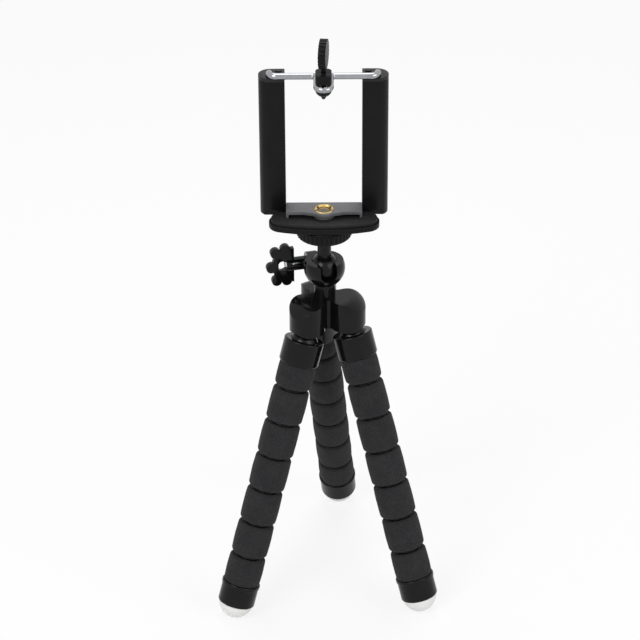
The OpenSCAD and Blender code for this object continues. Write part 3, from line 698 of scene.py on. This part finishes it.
@dataclass
class WireJaw:
    """Chrome wire, its boss, thumb screw and pressure cap, and the return springs."""

    edge: float = 0.3 * MM
    coil_turns: int = 20
    coil_wire: float = 0.33 * MM

    def spring(self, side: Side) -> None:
        """Winds one return spring at a single length, carried by the holder."""
        node = side.value + "_spring"
        low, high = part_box(node)
        outer = (high.x - low.x) / 2
        rise = (high.z - low.z - 2 * self.coil_wire) / self.coil_turns
        clear_selection()
        bpy.ops.mesh.primitive_circle_add(vertices=8, radius=self.coil_wire, rotation=(math.pi / 2, 0, 0),
                                          location=(outer - self.coil_wire, 0, 0))
        coil = bpy.context.object
        coil.name = node + "_coil"
        bpy.ops.object.transform_apply(location=True, rotation=True, scale=True)
        turns = coil.modifiers.new("turns", "SCREW")
        turns.angle = 2 * math.pi
        turns.screw_offset = rise
        turns.iterations = self.coil_turns
        turns.steps = 16
        turns.render_steps = 16
        apply_all(coil)
        bpy.ops.object.mode_set(mode="EDIT")
        bpy.ops.mesh.select_all(action="SELECT")
        bpy.ops.mesh.remove_doubles(threshold=0.001 * MM)
        bpy.ops.mesh.fill_holes(sides=0)
        bpy.ops.mesh.normals_make_consistent(inside=False)
        bpy.ops.object.mode_set(mode="OBJECT")
        settle(coil, Matrix.Translation(((low.x + high.x) / 2, (low.y + high.y) / 2, low.z + self.coil_wire)))
        shade(coil, Shading.SMOOTH)
        dress(coil, STEEL)
        seat(coil, "holder", "steel", node)
        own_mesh(coil)

    def build(self) -> None:
        """Rounds and dresses the jaw's pieces and winds the springs."""
        for node, finish in {"wire_jaw": CHROME, "rod_stops": STEEL}.items():
            dress(frame["nodes"][node], finish)
            LOG.info("%s dressed", node)
        for node, body in {"jaw_boss": "jaw", "thumb_screw": "thumb", "pressure_cap": "press"}.items():
            piece = softened(node, self.edge)
            dress(piece, SATIN_BLACK)
            seat(piece, body, "matte_black", node)
        for side in Side:
            self.spring(side)


@dataclass
class Studio:
    """White floor and world, soft lamps and the camera."""

    distance: float = 1.1
    elevation: float = 30.37
    roll: float = 0.34
    aim_height: float = 126.85 * MM
    aim_side: float = -1.97 * MM
    lens: float = 146.1
    floor_size: float = 6.0
    ambient: float = 0.45
    floor_glow: float = 0.8
    floor_tone: float = 0.86

    def axis(self) -> Vector:
        """The hub's axis on the floor."""
        at = Vector(joint("ball_tilt")["pos_m"])
        return Vector((at.x, at.y, 0))

    def camera(self) -> None:
        """Sets the camera at the photograph's angle."""
        aim = self.axis() + Vector((self.aim_side, 0, self.aim_height))
        rise = math.radians(self.elevation)
        back = Vector((0, -math.cos(rise), math.sin(rise)))
        data = bpy.data.cameras.new("studio_camera")
        data.sensor_fit = "HORIZONTAL"
        data.sensor_width = 36.0
        data.lens = self.lens
        data.clip_start = 0.01
        camera = bpy.data.objects.new("studio_camera", data)
        camera.location = aim + back * self.distance
        level = (-back).to_track_quat("-Z", "Y")
        tip = Quaternion((0, 0, 1), math.radians(-self.roll))
        camera.rotation_euler = (level @ tip).to_euler()
        bpy.context.scene.collection.objects.link(camera)
        bpy.context.scene.camera = camera

    def seen_direct(self, tree: bpy.types.NodeTree) -> bpy.types.NodeSocket:
        """A value that is 1 where the camera, a reflection or glass looks straight at a surface."""
        path = tree.nodes.new("ShaderNodeLightPath")
        total = path.outputs["Is Camera Ray"]
        for name in ("Is Glossy Ray", "Is Transmission Ray"):
            add = tree.nodes.new("ShaderNodeMath")
            add.operation = "MAXIMUM"
            tree.links.new(total, add.inputs[0])
            tree.links.new(path.outputs[name], add.inputs[1])
            total = add.outputs[0]
        return total

    def world(self) -> None:
        """A world that looks white and lights softly."""
        world = bpy.data.worlds.new("studio_world")
        bpy.context.scene.world = world
        world.use_nodes = True
        tree = world.node_tree
        shine = tree.nodes["Background"]
        shine.inputs["Color"].default_value = (1, 1, 1, 1)
        level = tree.nodes.new("ShaderNodeMapRange")
        level.inputs["To Min"].default_value = self.ambient
        level.inputs["To Max"].default_value = 1.0
        tree.links.new(self.seen_direct(tree), level.inputs["Value"])
        tree.links.new(level.outputs["Result"], shine.inputs["Strength"])

    def floor(self) -> None:
        """A pale floor that keeps the object's shadow."""
        clear_selection()
        bpy.ops.mesh.primitive_plane_add(size=self.floor_size, location=(0, 0, 0))
        floor = bpy.context.object
        floor.name = "studio_floor"
        material = bpy.data.materials.new("studio_floor")
        material.use_nodes = True
        tree = material.node_tree
        shader = tree.nodes["Principled BSDF"]
        shader.inputs["Base Color"].default_value = (*[self.floor_tone] * 3, 1)
        shader.inputs["Roughness"].default_value = 0.9
        shader.inputs["Specular IOR Level"].default_value = 0.1
        glow = tree.nodes.new("ShaderNodeEmission")
        glow.inputs["Strength"].default_value = 1.0
        mix = tree.nodes.new("ShaderNodeMixShader")
        share = tree.nodes.new("ShaderNodeMath")
        share.operation = "MULTIPLY"
        share.inputs[1].default_value = self.floor_glow
        tree.links.new(self.seen_direct(tree), share.inputs[0])
        tree.links.new(share.outputs[0], mix.inputs["Fac"])
        tree.links.new(shader.outputs["BSDF"], mix.inputs[1])
        tree.links.new(glow.outputs["Emission"], mix.inputs[2])
        tree.links.new(mix.outputs["Shader"], tree.nodes["Material Output"].inputs["Surface"])
        floor.data.materials.append(material)

    def lamp(self, name: str, place: tuple[float, float, float], size: float, power: float) -> None:
        """Adds a soft square lamp that faces the object.

        Args:
            name: the lamp's name.
            place: where it stands.
            size: its width in metres.
            power: watts.
        """
        data = bpy.data.lights.new(name, "AREA")
        data.shape = "SQUARE"
        data.size = size
        data.energy = power
        lamp = bpy.data.objects.new(name, data)
        lamp.location = place
        lamp.rotation_euler = (Vector((0, 0, 0.15)) - Vector(place)).to_track_quat("-Z", "Y").to_euler()
        bpy.context.scene.collection.objects.link(lamp)

    def build(self) -> None:
        """Sets up the camera, the floor, the world and the lamps."""
        self.camera()
        self.world()
        self.floor()
        self.lamp("key", (-0.7, -0.9, 1.0), 0.7, 9.0)
        self.lamp("fill", (0.9, -0.7, 0.7), 0.8, 5.0)
        self.lamp("top", (0.0, 0.35, 1.2), 0.6, 5.0)
        bpy.context.scene.view_settings.view_transform = "Standard"


def main() -> None:
    """Builds the studio and the tripod, piece by piece."""
    logging.basicConfig(level=logging.INFO, format="%(name)s: %(message)s")
    Studio().build()
    for leg in Leg:
        FoamLeg(leg).build()
    Head().build()
    Platform().build()
    PhoneHolder().build()
    WireJaw().build()
    clear_selection()


if __name__ == "__main__":
    main()
